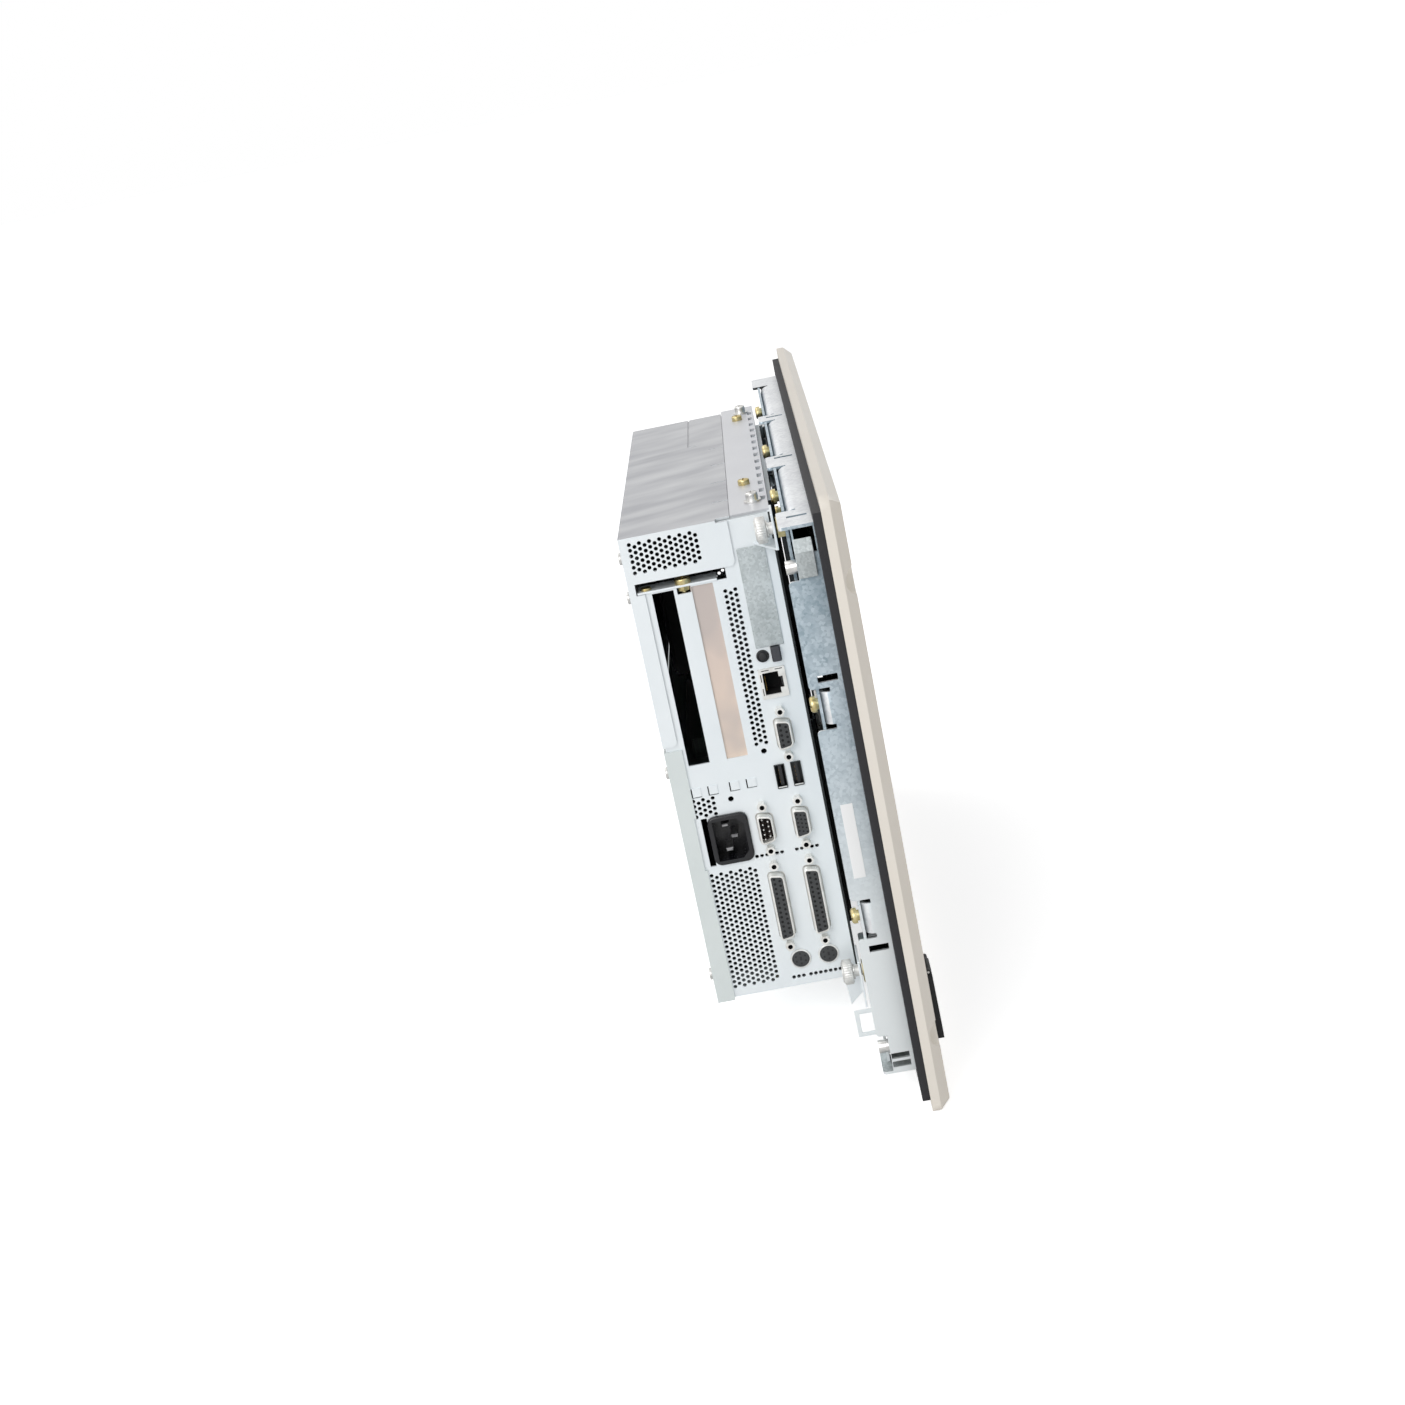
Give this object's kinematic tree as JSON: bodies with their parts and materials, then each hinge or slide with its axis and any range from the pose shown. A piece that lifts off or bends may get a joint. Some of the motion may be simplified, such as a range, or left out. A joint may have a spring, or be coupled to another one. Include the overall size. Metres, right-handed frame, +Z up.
{
  "type": "industrial panel computer",
  "caption": "Rack-width panel computer: bevelled front bezel with gasket, folded mounting frame, and a computing unit behind it with its ports on one side",
  "frame": {"origin": "centre of the four rack holes on the rear plane of the front bezel", "axes": "+X to the right seen from the front, +Y from the front to the back, +Z up"},
  "size_m": [0.4826, 0.1163, 0.3186],
  "materials": {
    "bezel_paint": "satin",
    "foil": "matte",
    "glass": "gloss",
    "dark_plastic": "matte",
    "board": "satin",
    "gasket": "matte",
    "galvanised": "satin",
    "case_steel": "satin",
    "cover_steel": "satin",
    "blank_steel": "satin",
    "yellow_zinc": "satin",
    "bright_steel": "gloss",
    "connector": "satin",
    "button_grey": "satin",
    "label_white": "matte",
    "aluminium": "satin"
  },
  "bodies": {
    "operating_unit": {"front_bezel": "bezel_paint", "front_foil": "foil", "touch_glass": "glass", "lcd_module": "dark_plastic", "interface_board": "board", "panel_gasket": "gasket", "flap_base": "dark_plastic", "flap_pin": "bright_steel", "service_socket": "connector", "mounting_frame": "galvanised", "back_plate": "galvanised", "back_plate_screws": "yellow_zinc", "corner_clip": "galvanised", "corner_studs": "bright_steel", "label_plate": "label_white", "cable_lug": "galvanised", "latch_nuts": "yellow_zinc", "frame_hinges": "bright_steel", "hinge_pins": "bright_steel"},
    "computing_unit": {"unit_hinges": "bright_steel", "chassis_tub": "case_steel", "port_plate": "case_steel", "top_channel": "case_steel", "rear_cover": "cover_steel", "lower_cover": "cover_steel", "slot_blank": "blank_steel", "card_rail": "case_steel", "rail_screws": "yellow_zinc", "card_cover": "galvanised", "network_socket": "connector", "bus_sockets": "dark_plastic", "jack_screws": "yellow_zinc", "round_sockets": "dark_plastic", "mains_inlet": "dark_plastic", "inlet_pins": "bright_steel", "latch_flanges": "bright_steel", "cover_screws": "bright_steel", "chassis_screws": "yellow_zinc", "washer_screws": "bright_steel", "main_board": "board", "heatsink": "aluminium", "riser_board": "board", "power_supply": "galvanised", "supply_board": "board", "disk_tray": "galvanised", "hard_disk": "aluminium", "fan_frame": "dark_plastic", "fieldbus_socket": "connector", "serial_plug": "connector", "monitor_socket": "connector", "serial_socket": "connector", "printer_socket": "connector"},
    "front_flap": {"front_flap": "dark_plastic"},
    "reset_button": {"reset_button": "dark_plastic"},
    "ejector_button": {"ejector_button": "button_grey"},
    "washer_upper": {"thumb_washer_upper": "bright_steel"},
    "washer_lower": {"thumb_washer_lower": "bright_steel"},
    "thumbscrew_upper": {"thumbscrew_upper": "bright_steel"},
    "thumbscrew_lower": {"thumbscrew_lower": "bright_steel"},
    "fan_rotor": {"fan_rotor": "dark_plastic"}
  },
  "joints": [
    {"name": "unit_swing", "type": "hinge", "parent": "operating_unit", "child": "computing_unit", "pos_m": [0.178, 0.0214, 0], "axis": [0, 0, -1], "range_deg": [0, 90]},
    {"name": "flap_open", "type": "hinge", "parent": "operating_unit", "child": "front_flap", "pos_m": [-0.204, -0.011, -0.0952], "axis": [-1, 0, 0], "range_deg": [0, 110]},
    {"name": "fan_spin", "type": "hinge", "parent": "computing_unit", "child": "fan_rotor", "pos_m": [0.1546, 0.062, 0.058], "axis": [1, 0, 0], "continuous": true},
    {"name": "reset_press", "type": "slide", "parent": "computing_unit", "child": "reset_button", "axis": [1, 0, 0], "range_m": [0, 0.001], "stiffness_N_per_m": 400},
    {"name": "ejector_press", "type": "slide", "parent": "computing_unit", "child": "ejector_button", "axis": [1, 0, 0], "range_m": [0, 0.0025], "stiffness_N_per_m": 300},
    {"name": "washer_upper_shift", "type": "slide", "parent": "computing_unit", "child": "washer_upper", "axis": [0, -1, 0], "range_m": [0, 0.002]},
    {"name": "thumbscrew_upper_turn", "type": "hinge", "parent": "washer_upper", "child": "thumbscrew_upper", "pos_m": [-0.15, 0.028, 0.1286], "axis": [0, -1, 0], "range_deg": [0, 720]},
    {"name": "washer_lower_shift", "type": "slide", "parent": "computing_unit", "child": "washer_lower", "axis": [0, -1, 0], "range_m": [0, 0.002]},
    {"name": "thumbscrew_lower_turn", "type": "hinge", "parent": "washer_lower", "child": "thumbscrew_lower", "pos_m": [-0.15, 0.028, -0.1174], "axis": [0, -1, 0], "range_deg": [0, 720]}
  ],
  "couplings": [
    {"joint": "thumbscrew_upper_turn", "follows": "washer_upper_shift", "rad_per_m": 6283.1},
    {"joint": "thumbscrew_lower_turn", "follows": "washer_lower_shift", "rad_per_m": 6283.1}
  ]
}
